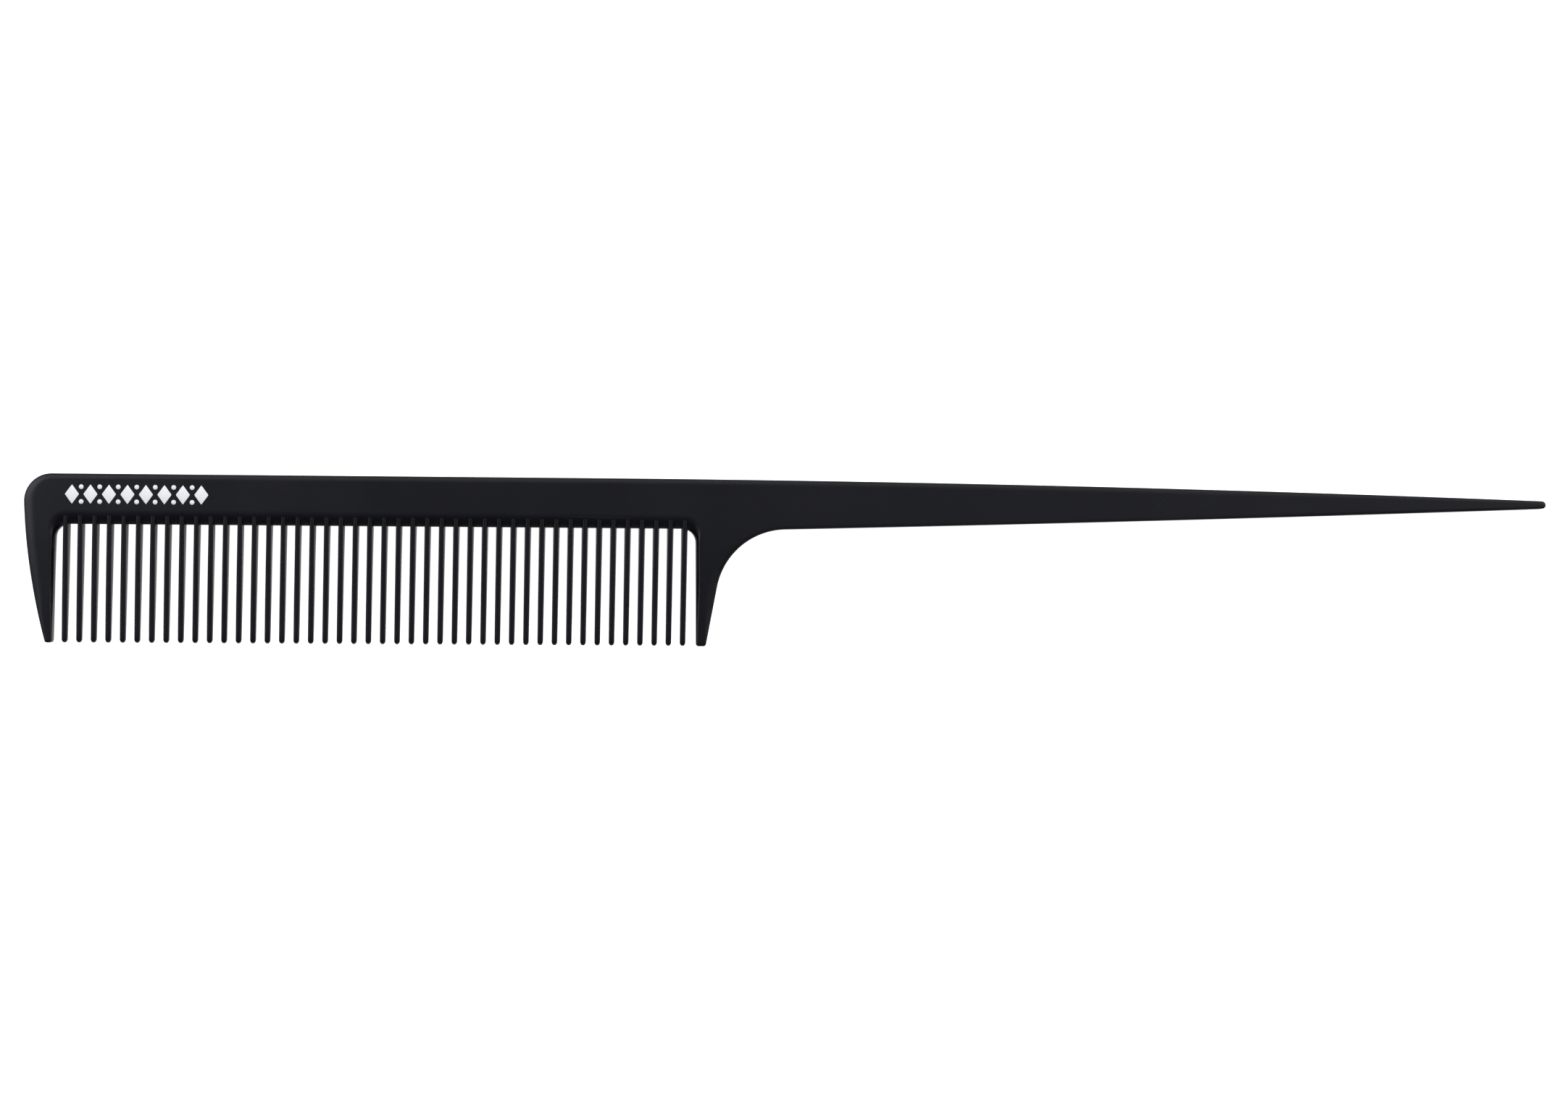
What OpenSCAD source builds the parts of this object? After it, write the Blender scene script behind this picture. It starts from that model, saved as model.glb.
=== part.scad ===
// Rat tail comb: a flat, one-piece moulded styling comb. A straight spine carries a row of fine
// teeth between two guard teeth and runs on into a long pointed tail for parting hair.
// The comb lies on its back with the face up: +X runs to the tip of the tail, the teeth
// point along -Y, and z = 0 is the plane of the back.
// Inside place(), x is measured from the front end and y from the tips of the teeth.

/* [Overall] */
// Length from the front end to the tip of the tail
overall_l = 230; // [210:1:250]
// Height from the tips of the teeth to the top of the spine
overall_h = 25.2; // [23:0.1:30]
// Thickness of the moulding at the spine
thick = 3.4; // [3:0.1:4.4]

/* [Spine] */
// Height of the spine above the gaps between the teeth
spine_h = 7.5; // [6.5:0.1:10]
// Radius of the top corner at the front end
corner_r = 4.1; // [2:0.1:5]
// Width of the bevel along the lower edge of the spine, on each face
bevel_w = 2; // [1:0.1:3]
// Thickness that the bevels leave at the lower edge of the spine
spine_edge_t = 2; // [1.2:0.1:2.6]
// Where the top edge starts to curve down towards the tail
sag_start = 83; // [70:1:95]
// Radius of the top edge from there to the tip of the tail
sag_r = 4800; // [4000:100:9000]

/* [Teeth] */
// Number of fine teeth
teeth_n = 44; // [36:1:44]
// Distance from one tooth to the next
pitch = 2.14; // [2:0.01:2.2]
// Centre of the first tooth, from the front end
first_tooth_x = 6.1; // [5.8:0.1:6.6]
// Width of a tooth at its middle plane, at the root
tooth_root_w = 1.04; // [0.8:0.02:1.2]
// Width of a tooth at its tip
tooth_tip_w = 0.78; // [0.5:0.02:0.8]
// Width of the flat on the front and back of a tooth
tooth_face_w = 0.6; // [0.4:0.02:0.7]
// Thickness of a tooth at its tip
tooth_tip_t = 1; // [0.8:0.1:1.6]
// Angle that the teeth lean towards the front end, in degrees
tooth_lean = 0.5; // [0:0.1:1]

/* [Guard teeth] */
// Width of the front guard at its root
front_guard_w = 4.35; // [4.3:0.05:4.6]
// Radius of the bowed front edge
front_edge_r = 92; // [91:1:200]
// Height at which the bowed front edge stands upright
front_edge_y = 24.4; // [22:0.1:24.8]
// Width of the rear guard at its tip
rear_guard_tip_w = 1.45; // [1:0.05:2]
// Gap from the centre of the last tooth to the rear guard
rear_gap = 1.66; // [1.5:0.02:2]
// Angle of the rear guard's outer edge, in degrees
rear_guard_angle = 10.6; // [6:0.1:14]
// Distance that the inner edges of the front and rear guards run outwards from root to tip
guard_draft = [0.2, 0.15];
// Thickness of the guards at their tips
guard_tip_t = 2.2; // [1.4:0.1:3]
// Radius of the corners at the tips of the guards
guard_tip_r = 0.4; // [0.1:0.05:0.45]
// Radius of the corners between the spine and the guards
window_r = 2.1; // [1.8:0.1:2.3]
// Width and depth of the facet down the inner edge of each guard
guard_facet = [0.4, 0.5];

/* [Tail] */
// Radius of the hollow between the rear guard and the tail
neck_r = 10.7; // [8:0.1:12]
// Angle at which the lower edge of the tail starts, in degrees
tail_angle = 1.6; // [1.4:0.1:1.7]
// Radius of the lower edge of the tail
tail_low_r = 8200; // [8000:100:12000]
// Thickness of the tail at its tip
tail_tip_t = 1.9; // [1.4:0.1:3]
// Length of the rounded tip piece
tail_tip_l = 6; // [4:1:12]

/* [Printed band] */
// Distance from the front end to the printed band
band_x = 6; // [5:0.1:12]
// Height of the middle of the band above the lower edge of the spine
band_y = 4.4; // [3.5:0.1:5]
// Number of lozenges in the band
band_n = 8; // [3:1:12]
// Distance from one lozenge to the next
band_pitch = 2.72; // [2.6:0.01:3.2]
// Width and height of a lozenge
lozenge = [2.1, 2.9];
// Diameter of the dots between the lozenges
dot_d = 0.7; // [0.4:0.1:0.9]
// Thickness of the printed ink
ink_t = 0.05; // [0.03:0.01:0.1]

/* [Hidden] */
mid = thick / 2;
low = overall_h - spine_h;
past = 0.5;
front_x = front_guard_w;
front_gap = first_tooth_x - front_x;
rear_x = first_tooth_x + (teeth_n - 1) * pitch + rear_gap;
tooth_l = low + bevel_w;

// The bevel is an arc that meets the face smoothly
bevel_d = (thick - spine_edge_t) / 2;
bevel_r = (bevel_w * bevel_w + bevel_d * bevel_d) / (2 * bevel_d);

// The top corner is an arc that touches the bowed front edge and the top edge, and its
// foremost point is the front end of the comb
corner_y = overall_h - corner_r;
corner_a = 180 + asin((front_edge_y - corner_y) / (front_edge_r - corner_r));
bow_x = corner_r - (front_edge_r - corner_r) * cos(corner_a);

// The hollow touches the outer edge of the rear guard and the lower edge of the tail
rear_tip_x = rear_x + guard_draft[1] + rear_guard_tip_w;
neck_y = low - neck_r * cos(tail_angle);
neck_x = rear_tip_x + neck_y * tan(rear_guard_angle) + neck_r / cos(rear_guard_angle);
split_y = neck_y + neck_r * sin(rear_guard_angle);
tail_x = neck_x - neck_r * sin(tail_angle);
tip_x = overall_l - tail_tip_l;

arc_steps = 12;
bevel_steps = 6;
edge_steps = 24;
TEETH = [for (k = [1:teeth_n]) str("tooth_", k < 10 ? "0" : "", k)];

function arc(c, r, a0, a1, n = arc_steps) =
    [for (i = [0:n]) let (a = a0 + (a1 - a0) * i / n) c + r * [cos(a), sin(a)]];

// Angle on the bowed front edge at height y
function front_a(y) = 180 + asin((front_edge_y - y) / front_edge_r);
function front_arc(y0, y1) = arc([bow_x, front_edge_y], front_edge_r, front_a(y0), front_a(y1));

// Heights of the top edge and of the tail's lower edge at distance x
function top_y(x) = overall_h - pow(max(0, x - sag_start), 2) / (2 * sag_r);
function tail_y(x) = low + (x - tail_x) * tan(tail_angle) + pow(x - tail_x, 2) / (2 * tail_low_r);

// How far round from its top a window corner starts, so that its web ends inside the nearest tooth
function web_a(gap) = asin(max(0, window_r - gap) / window_r);

function steps(x0, x1) = [for (i = [0:edge_steps]) x0 + (x1 - x0) * i / edge_steps];
function top_edge(x0, x1) = [for (x = steps(x0, x1)) [x, top_y(x)]];
function tail_edge(x0, x1) = [for (x = steps(x0, x1)) [x, tail_y(x)]];

module place() {
    translate([-overall_l / 2, -overall_h / 2, 0]) children();
}

module black() {
    color([0.12, 0.12, 0.145]) children();
}

module plate(points) {
    linear_extrude(thick) polygon(points);
}

// Extrudes a section drawn in x and z along -Y
module along_y(length) {
    rotate([90, 0, 0]) linear_extrude(length) children();
}

// Extrudes a side view drawn in y and z along +X
module along_x(length) {
    rotate([90, 0, 90]) linear_extrude(length) children();
}

// The bevels' section: what they remove from the lower edge of the spine, on each face
module bevel_section() {
    for (face = [0, 1]) translate([0, face * thick]) scale([1, 1 - 2 * face]) polygon(concat(
        [[-bevel_w - past, bevel_d], [-bevel_w - past, -past], [0, -past]],
        arc([0, bevel_r], bevel_r, -90, -90 - asin(bevel_w / bevel_r), bevel_steps)
    ));
}

module tooth_section() {
    face = tooth_face_w / 2;
    side = tooth_root_w / 2;
    polygon([[-face, 0], [face, 0], [side, mid], [face, thick], [-face, thick], [-side, mid]]);
}

module tooth_front_view() {
    root = tooth_root_w / 2;
    tip = tooth_tip_w / 2;
    polygon(concat(
        [[-root, 0], [root, 0], [root, -bevel_w]],
        arc([0, tip - tooth_l], tip, 0, -180),
        [[-root, -bevel_w]]
    ));
}

module tooth_side_view() {
    tip = tooth_tip_t / 2;
    polygon(concat(
        [[-bevel_w, 0], [0, 0], [0, thick], [-bevel_w, thick]],
        arc([tip - tooth_l, mid], tip, 90, 270)
    ));
}

// Puts a tooth drawn with its root at the origin on tooth k's place
module at_tooth(k) {
    translate([first_tooth_x + (k - 1) * pitch, low + bevel_w, 0]) rotate([0, 0, -tooth_lean]) children();
}

// The way that tooth k's root takes through the spine and the corners of the window
module tooth_slot(k) {
    at_tooth(k) along_y(2 * bevel_w) tooth_section();
}

module tooth(k) {
    place() black() at_tooth(k) intersection() {
        along_y(tooth_l) tooth_section();
        linear_extrude(thick) tooth_front_view();
        translate([-tooth_root_w, 0, 0]) along_x(2 * tooth_root_w) tooth_side_view();
    }
}

module spine() {
    outline = concat(
        front_arc(low, corner_y + corner_r * sin(corner_a)),
        arc([corner_r, corner_y], corner_r, corner_a, 90),
        top_edge(sag_start, tail_x),
        [[tail_x, low]]
    );
    bevel_x = front_x + window_r;
    place() black() difference() {
        plate(outline);
        translate([bevel_x, low + bevel_w, 0]) along_x(rear_x - window_r - bevel_x) bevel_section();
        for (k = [1:teeth_n]) tooth_slot(k);
    }
}

// Both guards thin evenly from the spine to their tips
module guard_side_view() {
    tip = guard_tip_t / 2;
    translate([-past, 0, 0]) along_x(overall_l)
        polygon([[0, mid - tip], [low, 0], [low, thick], [0, mid + tip]]);
}

// Cuts the facets along an inner edge that runs from x0 at the root to x1 at the tip
module facet_cut(x0, x1) {
    side = sign(x0 - x1);
    translate([x1, 0, 0]) rotate([0, 0, atan((x1 - x0) / low)])
        translate([0, low - window_r, 0]) along_y(low) for (face = [0, 1])
            translate([0, face * thick]) scale([side, 1 - 2 * face])
                polygon([[-guard_facet[0], 0], [past, -past], [past, guard_facet[1]], [0, guard_facet[1]]]);
}

module front_guard() {
    inner_tip = front_x - guard_draft[0];
    outer_tip = bow_x + front_edge_r * cos(front_a(0));
    outline = concat(
        [[front_x + min(front_gap, window_r), low]],
        arc([front_x + window_r, low - window_r], window_r, 90 + web_a(front_gap), 180),
        arc([inner_tip - guard_tip_r, guard_tip_r], guard_tip_r, 0, -90),
        [[outer_tip + guard_tip_r, 0]],
        front_arc(guard_tip_r, low)
    );
    place() black() difference() {
        intersection() {
            plate(outline);
            guard_side_view();
        }
        facet_cut(front_x, inner_tip);
        tooth_slot(1);
    }
}

// The outer edge of the rear guard leans by rear_guard_angle
function rear_outer(y) = [rear_tip_x + y * tan(rear_guard_angle), y];
function rear_inner(y) = [rear_x + guard_draft[1] * (1 - y / low), y];

module rear_guard() {
    inner = rear_inner(guard_tip_r) + [guard_tip_r, 0];
    outer = rear_outer(guard_tip_r) - [guard_tip_r / cos(rear_guard_angle), 0];
    outline = concat(
        [rear_inner(split_y), rear_outer(split_y)],
        arc(outer, guard_tip_r, -rear_guard_angle, -90),
        arc(inner, guard_tip_r, -90, -180)
    );
    place() black() difference() {
        intersection() {
            plate(outline);
            guard_side_view();
        }
        facet_cut(rear_x, rear_x + guard_draft[1]);
    }
}

// The web between the rear guard, the spine and the tail, with its round hollow
module neck() {
    outline = concat(
        [rear_inner(split_y)],
        arc([neck_x, neck_y], neck_r, 180 - rear_guard_angle, 90 + tail_angle),
        [[rear_x - min(rear_gap, window_r), low]],
        arc([rear_x - window_r, low - window_r], window_r, 90 - web_a(rear_gap), 0)
    );
    place() black() difference() {
        intersection() {
            plate(outline);
            guard_side_view();
        }
        facet_cut(rear_x, rear_x + guard_draft[1]);
        tooth_slot(teeth_n);
    }
}

// The tail thins evenly on both faces from the neck to its tip
module tail_side_view() {
    tip = tail_tip_t / 2;
    translate([0, overall_h + past, 0]) along_y(spine_h + 2 * past)
        polygon([[tail_x, 0], [overall_l, mid - tip], [overall_l, mid + tip], [tail_x, thick]]);
}

module tail_part(outline) {
    place() black() intersection() {
        plate(outline);
        tail_side_view();
    }
}

module tail() {
    tail_part(concat(top_edge(tail_x, tip_x), tail_edge(tip_x, tail_x)));
}

module tail_tip() {
    r = (top_y(overall_l) - tail_y(overall_l)) / 2;
    centre = [overall_l - r, (top_y(overall_l - r) + tail_y(overall_l - r)) / 2];
    tail_part(concat(tail_edge(tip_x, overall_l - 1.5 * r), arc(centre, r, -85, 85), [[tip_x, top_y(tip_x)]]));
}

// A row of lozenges with dots between them, printed in white on the face of the spine
module printed_band() {
    place() color("white") translate([band_x + lozenge[0] / 2, low + band_y, thick]) {
        for (i = [0:band_n - 1]) translate([i * band_pitch, 0, 0]) linear_extrude(ink_t)
            polygon([[-lozenge[0], 0] / 2, [0, lozenge[1]] / 2, [lozenge[0], 0] / 2, [0, -lozenge[1]] / 2]);
        for (i = [1:band_n - 1], side = [-1, 1])
            translate([(i - 0.5) * band_pitch, side * (lozenge[1] - dot_d) / 2, 0])
                cylinder(h = ink_t, d = dot_d, $fn = 32);
    }
}

spine();
front_guard();
rear_guard();
neck();
tail();
tail_tip();
printed_band();
for (k = [1:teeth_n]) tooth(k);
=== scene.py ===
import math
import bmesh
import bpy
from mathutils import Matrix, Vector


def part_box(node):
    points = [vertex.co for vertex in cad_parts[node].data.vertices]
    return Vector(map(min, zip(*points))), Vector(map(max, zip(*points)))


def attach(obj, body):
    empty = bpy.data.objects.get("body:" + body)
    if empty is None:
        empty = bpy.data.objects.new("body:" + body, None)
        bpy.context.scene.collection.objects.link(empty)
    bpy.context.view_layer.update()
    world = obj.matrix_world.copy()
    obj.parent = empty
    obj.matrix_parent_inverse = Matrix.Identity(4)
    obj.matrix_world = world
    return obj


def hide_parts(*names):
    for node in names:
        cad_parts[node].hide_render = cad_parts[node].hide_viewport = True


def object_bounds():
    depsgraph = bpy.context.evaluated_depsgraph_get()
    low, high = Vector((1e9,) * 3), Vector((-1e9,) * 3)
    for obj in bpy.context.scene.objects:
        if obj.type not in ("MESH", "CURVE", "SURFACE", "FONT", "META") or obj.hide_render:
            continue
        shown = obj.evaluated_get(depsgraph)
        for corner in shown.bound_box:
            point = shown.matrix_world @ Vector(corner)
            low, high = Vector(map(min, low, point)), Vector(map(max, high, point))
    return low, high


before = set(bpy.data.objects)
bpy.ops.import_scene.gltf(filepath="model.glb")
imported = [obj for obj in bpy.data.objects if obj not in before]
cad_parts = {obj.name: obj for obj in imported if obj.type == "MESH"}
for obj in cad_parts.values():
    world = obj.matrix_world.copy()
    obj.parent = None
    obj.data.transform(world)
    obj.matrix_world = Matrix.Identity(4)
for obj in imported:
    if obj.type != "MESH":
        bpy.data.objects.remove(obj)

cad_low, cad_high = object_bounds()
MM = 0.001


def place(x, y, z):
    return Vector((cad_low.x + x * MM, cad_low.y + y * MM, cad_low.z + z * MM))


def local_box(node):
    """A CAD node's lowest and highest corners, in millimetres."""
    low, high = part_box(node)
    return (low - cad_low) / MM, (high - cad_low) / MM


# ---- Sizes taken from the frame ----
spine_low, spine_high = local_box("spine")
LENGTH = (cad_high.x - cad_low.x) / MM
HEIGHT = spine_high.y
THICK = spine_high.z
MID = THICK / 2
LOW = spine_low.y
TAIL_X = local_box("tail")[0].x
TIP_X = local_box("tail_tip")[0].x
SPLIT_Y = local_box("rear_guard")[1].y
TEETH = sorted(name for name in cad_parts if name.startswith("tooth_"))

# ---- Sizes that the frame's boxes don't give ----
# Top edge: the front corner, and the stretch that curves down towards the tail
CORNER_R = 4.1
SAG_START = 83
SAG_R = 4800

# Bowed front edge: its radius, the height where it stands upright, and how far it comes past
# the frame's front end
FRONT_EDGE_R = 92
FRONT_EDGE_Y = 24.4
FRONT_CROWN = 0.1

# Guards: the front one's width at its root, how far each inner edge runs outwards by its tip, the
# rear one's gap from the last tooth's centre, its width at its tip and its outer edge's angle, and
# both tips' corners and thickness
FRONT_GUARD_W = 4.5
FRONT_DRAFT = 0.37
REAR_GAP = 1.66
REAR_DRAFT = 0.15
REAR_TIP_W = 1.45
REAR_ANGLE = math.radians(10.6)
GUARD_TIP_R = 0.4
GUARD_TIP_T = 2.2

# Corners between the guards and the spine, and the hollow behind the rear guard
WINDOW_R = 2.1
NECK_R = 10.7

# Tail: its lower edge's angle and radius, its thickness at the tip, and the length over which
# its edges turn to the tip's style
TAIL_ANGLE = math.radians(1.6)
TAIL_LOW_R = 8200
TAIL_TIP_T = 1.9
NARROW_L = 62

# Fine teeth and the bevel that they stand in. A tooth's root and tip widths are at mid-thickness.
# Its root is let in above the bevel and lies a little under the spine's faces. Its nose is the
# rounded end, which turns almost to a right angle
BEVEL_W = 2
TOOTH_ROOT_W = 1.04
TOOTH_TIP_W = 0.86
TOOTH_FACE_W = 0.56
TOOTH_TIP_T = 1
TOOTH_LEAN = math.radians(0.6)
TOOTH_LET_IN = 0.6
TOOTH_SINK = 0.03
TOOTH_NOSE = 0.55
TOOTH_NOSE_TURN = 81

# How far the edges of a tooth's face are rounded at its root and tip, and the edges of its sides
FACE_SOFT_ROOT = 0.14
FACE_SOFT_TIP = 0.26
SIDE_SOFT = 0.05

# ---- Edge styles: radius of the wide arc, the slope in degrees where it ends, and the radius of
# the small rounding that runs on into the wall ----
OUTER = Vector((1.8, 20, 0.45))
BROAD = Vector((4.0, 18, 0.45))
UNDER = Vector((1.8, 12, 0.2))
WINDOW = Vector((3.3, 37, 0.14))
GUARD = Vector((0.3, 60, 2.5))
POINT = Vector((0.4, 35, 0.3))
TAPERED = Vector((0.5, 25, 0.4))

# The flat rim inside an edge, and the height and half the width of the parting ridge on the wall
FLAT_RIM = 0.1
RIDGE = 0.02
RIDGE_HALF = 0.06

# Wear, from 0 to 1, where the wide arc ends, where the rounding ends, on the wall and on the ridge
ARC_WEAR = 0.4
ROUND_WEAR = 0.5
WALL_WEAR = 0.2
RIDGE_WEAR = 0.8

# Lengths over which the tail and the guards ease into their taper
TAIL_EASE = 12
GUARD_EASE = 3

# ---- Mesh spacing: numbers of steps, and lengths of edges in millimetres ----
ARC_STEPS = 6
ROUND_STEPS = 5
TIP_STEPS = 6
WINDOW_STEPS = 12
CORNER_STEPS = 14
BOW_STEPS = 16
BOW_SPLIT = 6
HOLLOW_STEPS = 28
SOFT_STEPS = 4
NOSE_STEPS = 6
EDGE_STEP = 3
GUARD_STEP = 1.5
HEEL_STEP = 1.2
TOOTH_STEP = 1.3
TAIL_STEP = 6
SAME_POINT = 0.02


# ---- Outline of the whole moulding ----
def arc(cx, cy, r, start, end, steps):
    """Points along an arc, with angles in degrees."""
    angles = [math.radians(start + (end - start) * i / steps) for i in range(steps + 1)]
    return [Vector((cx + r * math.cos(a), cy + r * math.sin(a))) for a in angles]


def span(a, b, step):
    """Evenly spaced numbers from a to b, no further than step apart."""
    n = max(1, math.ceil(abs(b - a) / step))
    return [a + (b - a) * i / n for i in range(n + 1)]


def line(a, b, step):
    return [a.lerp(b, t) for t in span(0, 1, step / (b - a).length)]


def top_y(x):
    return HEIGHT - max(0, x - SAG_START) ** 2 / (2 * SAG_R)


def tail_y(x):
    run = x - TAIL_X
    return LOW + run * math.tan(TAIL_ANGLE) + run ** 2 / (2 * TAIL_LOW_R)


def bow_angle(y):
    return 180 + math.degrees(math.asin((FRONT_EDGE_Y - y) / FRONT_EDGE_R))


def tooth_root_x(node):
    return local_box(node)[1].x - TOOTH_ROOT_W / 2


CORNER_X = CORNER_R - FRONT_CROWN
WINDOW_Y = LOW - WINDOW_R
REAR_X = tooth_root_x(TEETH[-1]) + REAR_GAP
REAR_TIP_X = REAR_X + REAR_DRAFT
TAIL_TIP_R = (top_y(LENGTH) - tail_y(LENGTH)) / 2
NARROW_X = LENGTH - NARROW_L
END_X = LENGTH - 1.5 * TAIL_TIP_R


def top_runs():
    """The top edge, from the tip of the tail to the front corner."""
    narrow = [Vector((x, top_y(x))) for x in span(END_X, NARROW_X, EDGE_STEP)]
    wide = [Vector((x, top_y(x))) for x in span(NARROW_X, CORNER_X, EDGE_STEP)]
    return [(narrow, TAPERED, OUTER), (wide, OUTER, OUTER)]


def front_runs():
    """The front corner and all round the front guard, up to its root."""
    corner_y = HEIGHT - CORNER_R
    corner_a = 180 + math.degrees(math.asin((FRONT_EDGE_Y - corner_y) / (FRONT_EDGE_R - CORNER_R)))
    corner = arc(CORNER_X, corner_y, CORNER_R, 90, corner_a, CORNER_STEPS)
    bow_x = CORNER_X - (FRONT_EDGE_R - CORNER_R) * math.cos(math.radians(corner_a))
    top_a, foot_a = bow_angle(corner[-1].y), bow_angle(GUARD_TIP_R)
    bow = arc(bow_x, FRONT_EDGE_Y, FRONT_EDGE_R, top_a, foot_a, BOW_STEPS)
    toe = arc(bow[-1].x + GUARD_TIP_R, GUARD_TIP_R, GUARD_TIP_R, 190, 270, TIP_STEPS)
    inner_x = FRONT_GUARD_W - FRONT_DRAFT
    tip = arc(inner_x - GUARD_TIP_R, GUARD_TIP_R, GUARD_TIP_R, -90, 0, TIP_STEPS)
    root = Vector((FRONT_GUARD_W, WINDOW_Y))
    return [
        (corner, OUTER, BROAD),
        (bow[:BOW_SPLIT + 1], BROAD, BROAD),
        (bow[BOW_SPLIT:], BROAD, POINT),
        (toe, POINT, POINT),
        (tip, POINT, POINT),
        (line(tip[-1], root, GUARD_STEP), POINT, GUARD),
    ]


def window_runs():
    """The edge over the teeth with its two corners, and the rear guard's inner edge."""
    left_x = FRONT_GUARD_W + WINDOW_R
    right_x = REAR_X - WINDOW_R
    root = Vector((REAR_X, WINDOW_Y))
    tip = Vector((REAR_TIP_X, GUARD_TIP_R))
    return [
        (arc(left_x, WINDOW_Y, WINDOW_R, 180, 90, WINDOW_STEPS), GUARD, WINDOW),
        (line(Vector((left_x, LOW)), Vector((right_x, LOW)), EDGE_STEP), WINDOW, WINDOW),
        (arc(right_x, WINDOW_Y, WINDOW_R, 90, 0, WINDOW_STEPS), WINDOW, GUARD),
        (line(root, tip, GUARD_STEP), GUARD, POINT),
    ]


def rear_runs():
    """The rear guard's tip and outer edge, and the hollow between it and the tail."""
    outer_a = math.degrees(REAR_ANGLE)
    outer_foot = REAR_TIP_X + REAR_TIP_W
    tip = arc(REAR_TIP_X + GUARD_TIP_R, GUARD_TIP_R, GUARD_TIP_R, 180, 270, TIP_STEPS)
    heel_x = outer_foot + (GUARD_TIP_R * math.sin(REAR_ANGLE) - GUARD_TIP_R) / math.cos(REAR_ANGLE)
    heel = arc(heel_x, GUARD_TIP_R, GUARD_TIP_R, -90, -outer_a, TIP_STEPS)
    neck_y = LOW - NECK_R * math.cos(TAIL_ANGLE)
    neck_x = outer_foot + neck_y * math.tan(REAR_ANGLE) + NECK_R / math.cos(REAR_ANGLE)
    tail_a = math.degrees(TAIL_ANGLE)
    hollow = arc(neck_x, neck_y, NECK_R, 180 - outer_a, 90 + tail_a, HOLLOW_STEPS)
    return [
        (tip, POINT, POINT),
        (heel, POINT, POINT),
        (line(heel[-1], hollow[0], HEEL_STEP), POINT, BROAD),
        (hollow, BROAD, UNDER),
    ]


def tail_runs():
    """The lower edge of the tail, and its rounded end."""
    wide = [Vector((x, tail_y(x))) for x in span(TAIL_X, NARROW_X, EDGE_STEP)]
    narrow = [Vector((x, tail_y(x))) for x in span(NARROW_X, END_X, EDGE_STEP)]
    end_x = LENGTH - TAIL_TIP_R
    end = arc(end_x, (top_y(end_x) + tail_y(end_x)) / 2, TAIL_TIP_R, -80, 80, CORNER_STEPS)
    return [(wide, UNDER, UNDER), (narrow, UNDER, TAPERED), (end, TAPERED, TAPERED)]


def styled_outline():
    """All outline points once round, anticlockwise, each with its outward normal and edge style."""
    points, styles = [], []
    for run, start, end in top_runs() + front_runs() + window_runs() + rear_runs() + tail_runs():
        for i, p in enumerate(run):
            if points and (p - points[-1]).length < SAME_POINT:
                continue
            t = i / (len(run) - 1)
            points.append(p)
            styles.append(start.lerp(end, t * t * (3 - 2 * t)))
    if (points[0] - points[-1]).length < SAME_POINT:
        points.pop()
        styles.pop()
    rows = []
    for i, p in enumerate(points):
        before = (p - points[i - 1]).normalized()
        after = (points[(i + 1) % len(points)] - p).normalized()
        along = (before + after).normalized()
        rows.append((p, Vector((along.y, -along.x)), styles[i]))
    return rows


def edge_profile(style):
    """Inset from the wall, height and wear of each ring, from the face round to the back."""
    big, slope, small = style.x, math.radians(style.y), style.z
    turn = big * math.sin(slope)
    inset = turn + small * (1 - math.sin(slope))
    half = [(inset + FLAT_RIM, 0, 0)]
    for i in range(ARC_STEPS + 1):
        a = slope * i / ARC_STEPS
        half.append((inset - big * math.sin(a), big * (1 - math.cos(a)), ARC_WEAR * i / ARC_STEPS))
    for i in range(1, ROUND_STEPS + 1):
        a = slope + (math.pi / 2 - slope) * i / ROUND_STEPS
        reach = turn + small * (math.sin(a) - math.sin(slope))
        drop = big * (1 - math.cos(slope)) + small * (math.cos(slope) - math.cos(a))
        half.append((inset - reach, drop, 1 - (1 - ROUND_WEAR) * i / ROUND_STEPS))
    half.append((0, MID - RIDGE_HALF, WALL_WEAR))
    face = [(d, THICK - drop, wear) for d, drop, wear in half]
    back = [(d, drop, wear) for d, drop, wear in reversed(half)]
    return face + [(-RIDGE, MID, RIDGE_WEAR)] + back


def ramp(u, ease):
    """Grows with u from 0, in a smooth curve as far as ease and then in a straight line."""
    u = max(0, u)
    return u * u / (2 * ease) if u < ease else u - ease / 2


def taper(x, y):
    """Thickness at a point, as a share of the spine's."""
    tail = (1 - TAIL_TIP_T / THICK) * ramp(x - TAIL_X, TAIL_EASE) / ramp(LENGTH - TAIL_X, TAIL_EASE)
    guard = (1 - GUARD_TIP_T / THICK) * ramp(LOW - y, GUARD_EASE) / ramp(LOW, GUARD_EASE)
    return (1 - tail) * (1 - guard)


def cut(bm, x, y, normal, clear=False):
    """Cuts along a plane. With clear, the side that the normal points to goes and the cut is closed."""
    everything = bm.verts[:] + bm.edges[:] + bm.faces[:]
    bmesh.ops.bisect_plane(
        bm, geom=everything, dist=1e-5, plane_co=(x, y, MID), plane_no=normal, clear_outer=clear)
    if not clear:
        return
    rims = [e for e in bm.edges if e.is_boundary]
    caps = bmesh.ops.holes_fill(bm, edges=rims, sides=0)["faces"]
    for e in {e for f in caps for e in f.edges}:
        e.smooth = False
    for f in caps:
        f.smooth = False


def edge_columns(bm):
    """One column of vertices for each point of the outline, with the wear stored on them."""
    wear_layer = bm.verts.layers.float.new("wear")
    columns = []
    for p, normal, style in styled_outline():
        column = []
        for inset, z, wear in edge_profile(style):
            q = p - normal * inset
            v = bm.verts.new((q.x, q.y, z))
            v[wear_layer] = wear
            column.append(v)
        columns.append(column)
    return columns


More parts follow.
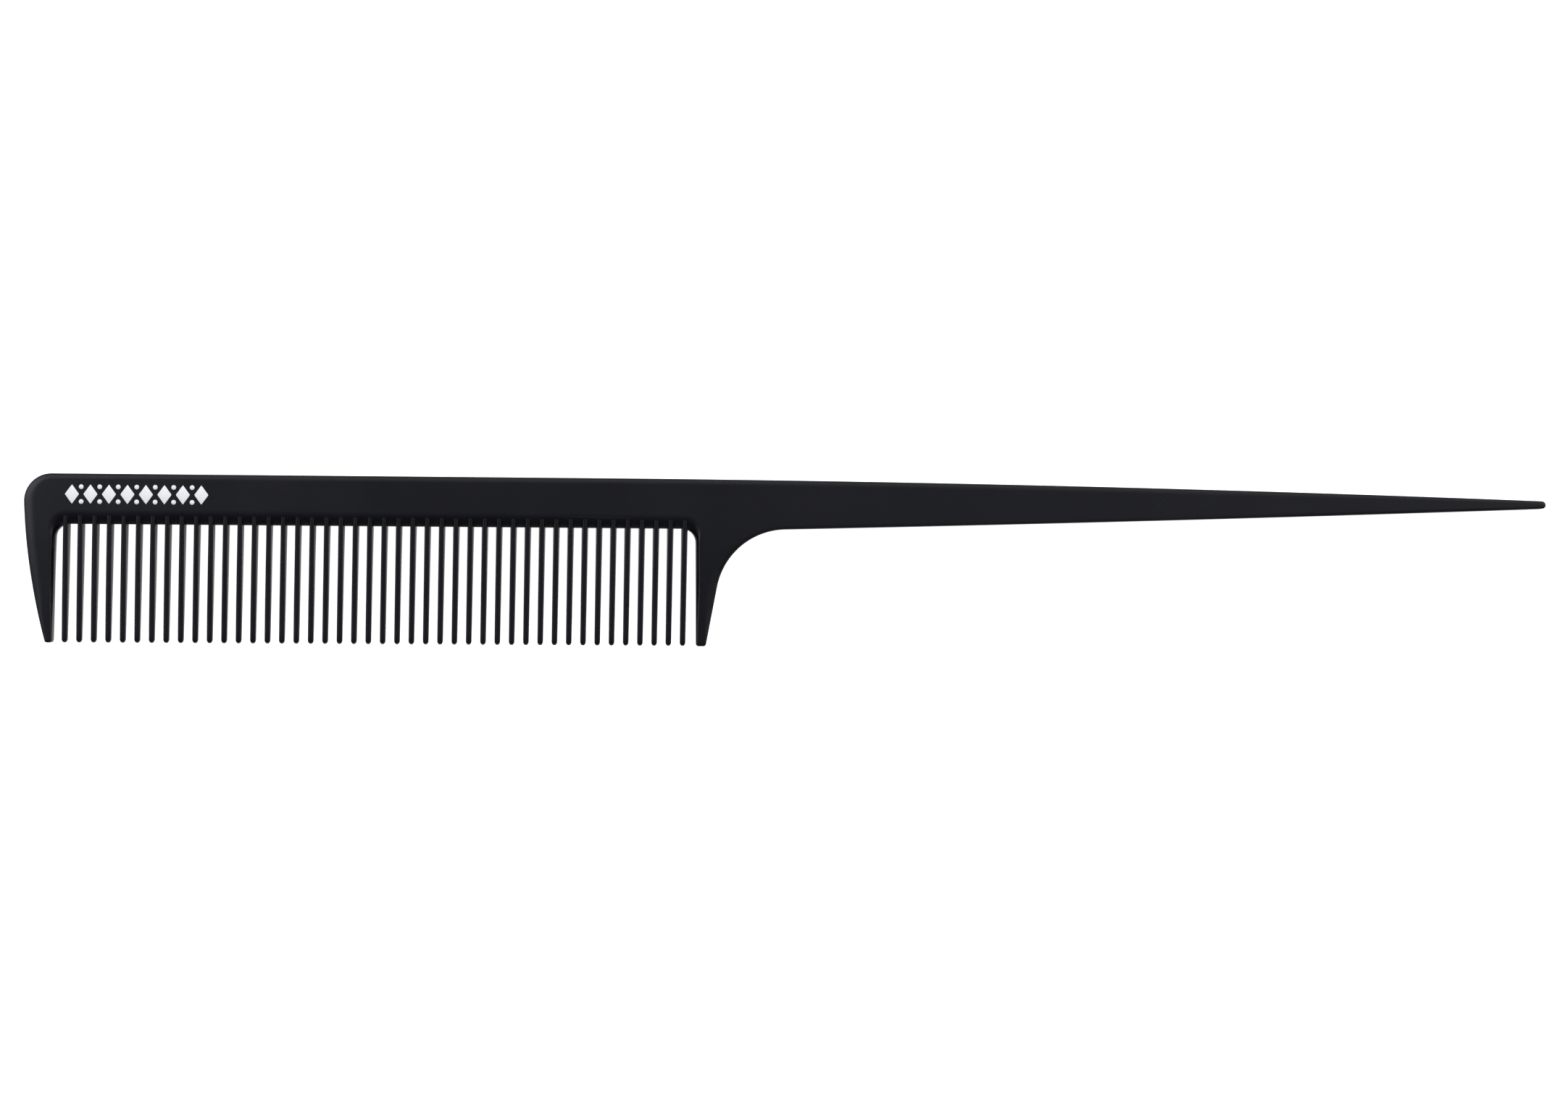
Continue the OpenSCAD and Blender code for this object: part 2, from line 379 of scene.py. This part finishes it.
def moulding():
    """The moulding without its teeth, as one closed mesh in millimetres."""
    bm = bmesh.new()
    columns = edge_columns(bm)
    for i, column in enumerate(columns):
        after = columns[(i + 1) % len(columns)]
        for k in range(len(column) - 1):
            bm.faces.new((column[k], column[k + 1], after[k + 1], after[k]))
    bm.faces.new([c[0] for c in columns])
    bm.faces.new([c[-1] for c in reversed(columns)])
    for f in bm.faces:
        f.smooth = True
    for x in span(TAIL_X, LENGTH, TAIL_STEP)[1:-1]:
        cut(bm, x, 0, (1, 0, 0))
    for y in span(0, LOW, GUARD_STEP)[1:-1]:
        cut(bm, 0, y, (0, 1, 0))
    for v in bm.verts:
        v.co.z = MID + (v.co.z - MID) * taper(v.co.x, v.co.y)
    return bm


def to_object(name, bm):
    """Makes an object from a mesh in millimetres."""
    for v in bm.verts:
        v.co = place(*v.co)
    bmesh.ops.recalc_face_normals(bm, faces=bm.faces)
    mesh = bpy.data.meshes.new(name)
    bm.to_mesh(mesh)
    bm.free()
    obj = bpy.data.objects.new(name, mesh)
    bpy.context.scene.collection.objects.link(obj)
    return obj


def adopt(obj, node, material):
    """Makes a piece stand for its CAD node."""
    obj.data.materials.append(material)
    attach(obj, "root")
    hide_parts(node)


# ---- Regions: each is the moulding cut along some planes. A plane is a point's x and y, and
# the normal on the side that goes ----
SEAM_DROP = 0.03  # keeps the cut clear of the edge over the teeth
CUT_Y = LOW - SEAM_DROP
WINDOW_X = LENGTH / 4  # between the two guards


def left_of(x):
    return x, 0, (1, 0, 0)


def right_of(x):
    return x, 0, (-1, 0, 0)


def below(y):
    return 0, y, (0, 1, 0)


def above(y):
    return 0, y, (0, -1, 0)


REGIONS = {
    "spine": [above(CUT_Y), left_of(TAIL_X)],
    "front_guard": [below(CUT_Y), left_of(WINDOW_X)],
    "neck": [below(CUT_Y), right_of(WINDOW_X), above(SPLIT_Y), left_of(TAIL_X)],
    "rear_guard": [right_of(WINDOW_X), below(SPLIT_Y)],
    "tail": [right_of(TAIL_X), left_of(TIP_X)],
    "tail_tip": [right_of(TIP_X)],
}


def region(whole, planes):
    """A copy of the moulding, cut down to one region."""
    bm = whole.copy()
    for x, y, normal in planes:
        cut(bm, x, y, normal, clear=True)
    return bm


# ---- Lofted shapes ----
def soften(corners, cuts, steps):
    """A closed polygon with each corner cut back by its own length and rounded."""
    points = []
    for i, here in enumerate(corners):
        back = corners[i - 1] - here
        ahead = corners[(i + 1) % len(corners)] - here
        start = here + back.normalized() * min(cuts[i], back.length * 0.45)
        end = here + ahead.normalized() * min(cuts[i], ahead.length * 0.45)
        for k in range(steps + 1):
            t = k / steps
            points.append(start.lerp(here, t).lerp(here.lerp(end, t), t))
    return points


def loft(bm, rings):
    """Skins a stack of rings of points, and closes both ends."""
    stack = [[bm.verts.new(p) for p in ring] for ring in rings]
    for lower, upper in zip(stack, stack[1:]):
        for i in range(len(lower)):
            k = (i + 1) % len(lower)
            bm.faces.new((lower[i], lower[k], upper[k], upper[i])).smooth = True
    bm.faces.new(stack[0])
    bm.faces.new(list(reversed(stack[-1]))).smooth = True


def tooth_section(width, thick, soft):
    """A tooth's section in x and z: flat front and back, and sides that fall away from mid-thickness."""
    side = width / 2
    fall = (TOOTH_ROOT_W - TOOTH_FACE_W) / 2 * (thick / THICK) ** 2
    face = side - fall
    half = thick / 2
    corners = [Vector(c) for c in (
        (face, half), (-face, half), (-side, 0), (-face, -half), (face, -half), (side, 0))]
    return soften(corners, [soft, soft, SIDE_SOFT] * 2, SOFT_STEPS)


def tooth_stations(length):
    """Distances down a tooth from its root, each with the share of its section that is left there."""
    stations = [(s, 1) for s in span(0, length - TOOTH_NOSE, TOOTH_STEP)]
    for i in range(1, NOSE_STEPS + 1):
        a = math.radians(TOOTH_NOSE_TURN * i / NOSE_STEPS)
        stations.append((length - TOOTH_NOSE + TOOTH_NOSE * math.sin(a), math.cos(a)))
    return stations


def tooth_mesh(root_x):
    """One tooth, from its root inside the spine to its rounded tip."""
    root_y = LOW + BEVEL_W + TOOTH_LET_IN
    root_t = THICK - TOOTH_SINK
    rings = []
    for s, share in tooth_stations(root_y):
        t = s / root_y
        width = (TOOTH_ROOT_W + (TOOTH_TIP_W - TOOTH_ROOT_W) * t) * share
        thick = (root_t + (TOOTH_TIP_T - THICK) * t) * share
        soft = (FACE_SOFT_ROOT + (FACE_SOFT_TIP - FACE_SOFT_ROOT) * t) * share
        x = root_x - s * math.sin(TOOTH_LEAN)
        section = tooth_section(width, thick, soft)
        rings.append([(x + p.x, root_y - s, MID + p.y) for p in section])
    bm = bmesh.new()
    loft(bm, rings)
    return bm


# ---- Printed band: a row of lozenges with pairs of dots between them ----
BAND_X = 6
BAND_Y = 4.4
BAND_N = 8
BAND_PITCH = 2.72
LOZENGE_W = 2.1
LOZENGE_H = 2.9
LOZENGE_SOFT = 0.12
DOT_D = 0.7
DOT_STEPS = 24
INK_T = 0.045
INK_SINK = 0.01


def ink_patch(bm, centre, outline):
    """A thin film of ink over a closed outline, a little smaller on top than at its foot."""
    layers = ((1, -INK_SINK), (1, INK_T / 2), (0.97, INK_T))
    loft(bm, [[(centre.x + p.x * k, centre.y + p.y * k, THICK + z) for p in outline] for k, z in layers])


def printed_band():
    bm = bmesh.new()
    start = Vector((BAND_X + LOZENGE_W / 2, LOW + BAND_Y))
    wide, tall = LOZENGE_W / 2, LOZENGE_H / 2
    corners = [Vector(c) for c in ((wide, 0), (0, tall), (-wide, 0), (0, -tall))]
    lozenge = soften(corners, [LOZENGE_SOFT] * 4, 3)
    dot = arc(0, 0, DOT_D / 2, 0, 360 - 360 / DOT_STEPS, DOT_STEPS - 1)
    for i in range(BAND_N):
        ink_patch(bm, start + Vector((i * BAND_PITCH, 0)), lozenge)
    for i in range(1, BAND_N):
        for side in (-1, 1):
            ink_patch(bm, start + Vector(((i - 0.5) * BAND_PITCH, side * (tall - DOT_D / 2))), dot)
    return bm


# ---- Materials ----
class Shader:
    """A Principled material and the few node patterns that this scene needs."""

    def __init__(self, name):
        self.material = bpy.data.materials.new(name)
        self.material.use_nodes = True
        self.tree = self.material.node_tree
        self.surface = self.tree.nodes["Principled BSDF"]
        self.coords = self.node("ShaderNodeTexCoord").outputs["Object"]

    def node(self, kind, **values):
        n = self.tree.nodes.new(kind)
        for key, value in values.items():
            setattr(n, key, value)
        return n

    def feed(self, socket, source):
        if hasattr(source, "is_linked"):
            self.tree.links.new(source, socket)
        else:
            socket.default_value = source

    def noise(self, scale, detail=2, stretch=(1, 1, 1)):
        """Noise with about scale features per metre, stretched along the axes."""
        mapping = self.node("ShaderNodeMapping")
        self.feed(mapping.inputs["Vector"], self.coords)
        mapping.inputs["Scale"].default_value = stretch
        n = self.node("ShaderNodeTexNoise")
        self.feed(n.inputs["Vector"], mapping.outputs["Vector"])
        n.inputs["Scale"].default_value = scale
        n.inputs["Detail"].default_value = detail
        return n.outputs["Fac"]

    def specks(self, scale, size):
        """Small scattered dots, 1 inside and 0 outside."""
        n = self.node("ShaderNodeTexVoronoi")
        self.feed(n.inputs["Vector"], self.coords)
        n.inputs["Scale"].default_value = scale
        return self.remap(n.outputs["Distance"], size, size * 0.6, 0, 1)

    def remap(self, value, low, high, to_low, to_high):
        n = self.node("ShaderNodeMapRange")
        for key, source in zip(("Value", "From Min", "From Max", "To Min", "To Max"),
                               (value, low, high, to_low, to_high)):
            self.feed(n.inputs[key], source)
        return n.outputs["Result"]

    def maths(self, operation, a, b):
        n = self.node("ShaderNodeMath", operation=operation)
        self.feed(n.inputs[0], a)
        self.feed(n.inputs[1], b)
        return n.outputs["Value"]

    def mix(self, share, a, b):
        """A colour between a and b. Inputs 6 and 7 and output 2 are the node's colour sockets."""
        n = self.node("ShaderNodeMix", data_type="RGBA")
        self.feed(n.inputs["Factor"], share)
        self.feed(n.inputs[6], a)
        self.feed(n.inputs[7], b)
        return n.outputs[2]

    def bump(self, height, distance, normal=None):
        n = self.node("ShaderNodeBump")
        n.inputs["Distance"].default_value = distance
        self.feed(n.inputs["Height"], height)
        if normal:
            self.feed(n.inputs["Normal"], normal)
        return n.outputs["Normal"]

    def set(self, name, source):
        self.feed(self.surface.inputs[name], source)


def black_plastic():
    """Satin black plastic with a fine grain, faint flow marks, a little wear and dust."""
    s = Shader("black_plastic")
    clouds = s.noise(90, 3)
    grain = s.noise(5200, 2)
    flow = s.noise(420, 2, (0.12, 1, 1))
    scratches = s.remap(s.noise(900, 1, (0.03, 1.6, 1)), 0.70, 0.76, 0, 1)
    wear_map = s.node("ShaderNodeAttribute", attribute_name="wear").outputs["Fac"]
    wear = s.maths("MULTIPLY", wear_map, s.remap(s.noise(700, 3), 0.45, 0.7, 0, 1))
    dust = s.maths("MULTIPLY", s.specks(900, 0.09), s.remap(s.noise(60, 1), 0.55, 0.7, 0, 1))
    base = s.mix(clouds, (0.0008, 0.0008, 0.0020, 1), (0.0014, 0.0014, 0.0030, 1))
    worn = s.mix(s.maths("MULTIPLY", wear, 0.5), base, (0.012, 0.012, 0.015, 1))
    dusty = s.mix(s.maths("MULTIPLY", dust, 0.35), worn, (0.09, 0.09, 0.09, 1))
    s.set("Base Color", dusty)
    rough = s.remap(clouds, 0.3, 0.7, 0.35, 0.41)
    rough = s.maths("ADD", rough, s.maths("MULTIPLY", wear, 0.08))
    rough = s.maths("ADD", rough, s.maths("MULTIPLY", scratches, 0.1))
    s.set("Roughness", rough)
    normal = s.bump(grain, 0.000003)
    normal = s.bump(flow, 0.000008, normal)
    normal = s.bump(scratches, 0.000002, normal)
    s.set("Normal", normal)
    s.set("IOR", 1.5)
    s.set("Specular IOR Level", 0.32)
    return s.material


def white_ink():
    """Matte white print, slightly uneven in its cover."""
    s = Shader("white_ink")
    cover = s.noise(2600, 3)
    s.set("Base Color", s.mix(s.remap(cover, 0.3, 0.75, 0, 1), (1, 1, 0.98, 1), (0.97, 0.97, 0.95, 1)))
    s.set("Roughness", s.remap(cover, 0.3, 0.7, 0.5, 0.62))
    s.set("Normal", s.bump(cover, 0.000004))
    return s.material


def pale_floor():
    """White board that the comb lies on."""
    s = Shader("pale_floor")
    s.set("Base Color", s.mix(s.noise(30, 3), (0.9, 0.9, 0.9, 1), (0.93, 0.93, 0.93, 1)))
    s.set("Roughness", s.remap(s.noise(200, 2), 0.3, 0.7, 0.75, 0.85))
    s.set("Emission Color", (1, 1, 1, 1))
    s.set("Emission Strength", 0.97)
    return s.material


# ---- Build ----
plastic = black_plastic()
whole = moulding()
for node, planes in REGIONS.items():
    adopt(to_object("moulded_" + node, region(whole, planes)), node, plastic)
whole.free()

for node in TEETH:
    adopt(to_object("moulded_" + node, tooth_mesh(tooth_root_x(node))), node, plastic)

adopt(to_object("ink_band", printed_band()), "printed_band", white_ink())

# ---- Floor, light and camera. The floor's sizes are in millimetres, the rest in metres ----
FLOOR_HALF = 2000
FLOOR_GAP = 0.05
floor_bm = bmesh.new()
bmesh.ops.create_grid(floor_bm, x_segments=8, y_segments=8, size=FLOOR_HALF)
for v in floor_bm.verts:
    v.co.z = -FLOOR_GAP
floor = to_object("floor", floor_bm)
floor.data.materials.append(pale_floor())


def softbox(name, azimuth, elevation, distance, size, radiance, color=(1, 1, 1)):
    """A rectangular light that faces the comb. Its radiance stays the same at any size."""
    light = bpy.data.lights.new(name, "AREA")
    light.shape = "RECTANGLE"
    light.size, light.size_y = size
    light.energy = radiance * math.pi * size[0] * size[1]
    light.color = color
    obj = bpy.data.objects.new(name, light)
    a, e = math.radians(azimuth), math.radians(elevation)
    away = Vector((math.cos(a) * math.cos(e), math.sin(a) * math.cos(e), math.sin(e)))
    obj.location = away * distance
    obj.rotation_euler = away.to_track_quat("Z", "Y").to_euler()
    bpy.context.scene.collection.objects.link(obj)


softbox("left_box", 156, 45, 1.5, (1.0, 1.2), 3.8, (0.86, 0.88, 1))
softbox("right_box", 22, 38, 1.5, (0.9, 1.1), 3.4)
softbox("back_box", 90, 46, 1.5, (1.2, 0.8), 1.5)
softbox("front_box", 270, 6, 1.5, (2.2, 0.3), 1.9)
softbox("top_box", 22, 79, 1.6, (1.5, 0.6), 0.62, (0.76, 0.79, 1))

world = bpy.data.worlds.new("studio")
world.use_nodes = True
background = world.node_tree.nodes["Background"]
background.inputs["Color"].default_value = (0.9, 0.92, 1, 1)
background.inputs["Strength"].default_value = 0.06
bpy.context.scene.world = world

# The camera looks down at the comb, turned by a few degrees about its own axes
CAMERA_AT = (-0.02807, -0.00355, 0.45)
CAMERA_TURNS = {"Y": -3.349, "X": 0.526, "Z": 0.395}
camera_data = bpy.data.cameras.new("camera")
camera_data.lens = 68.21
camera_data.sensor_width = 36
camera_data.clip_start = 0.01
camera = bpy.data.objects.new("camera", camera_data)
view = Matrix.Translation(CAMERA_AT)
for axis, degrees in CAMERA_TURNS.items():
    view @= Matrix.Rotation(math.radians(degrees), 4, axis)
camera.matrix_world = view
bpy.context.scene.collection.objects.link(camera)
bpy.context.scene.camera = camera
bpy.context.scene.view_settings.view_transform = "Standard"
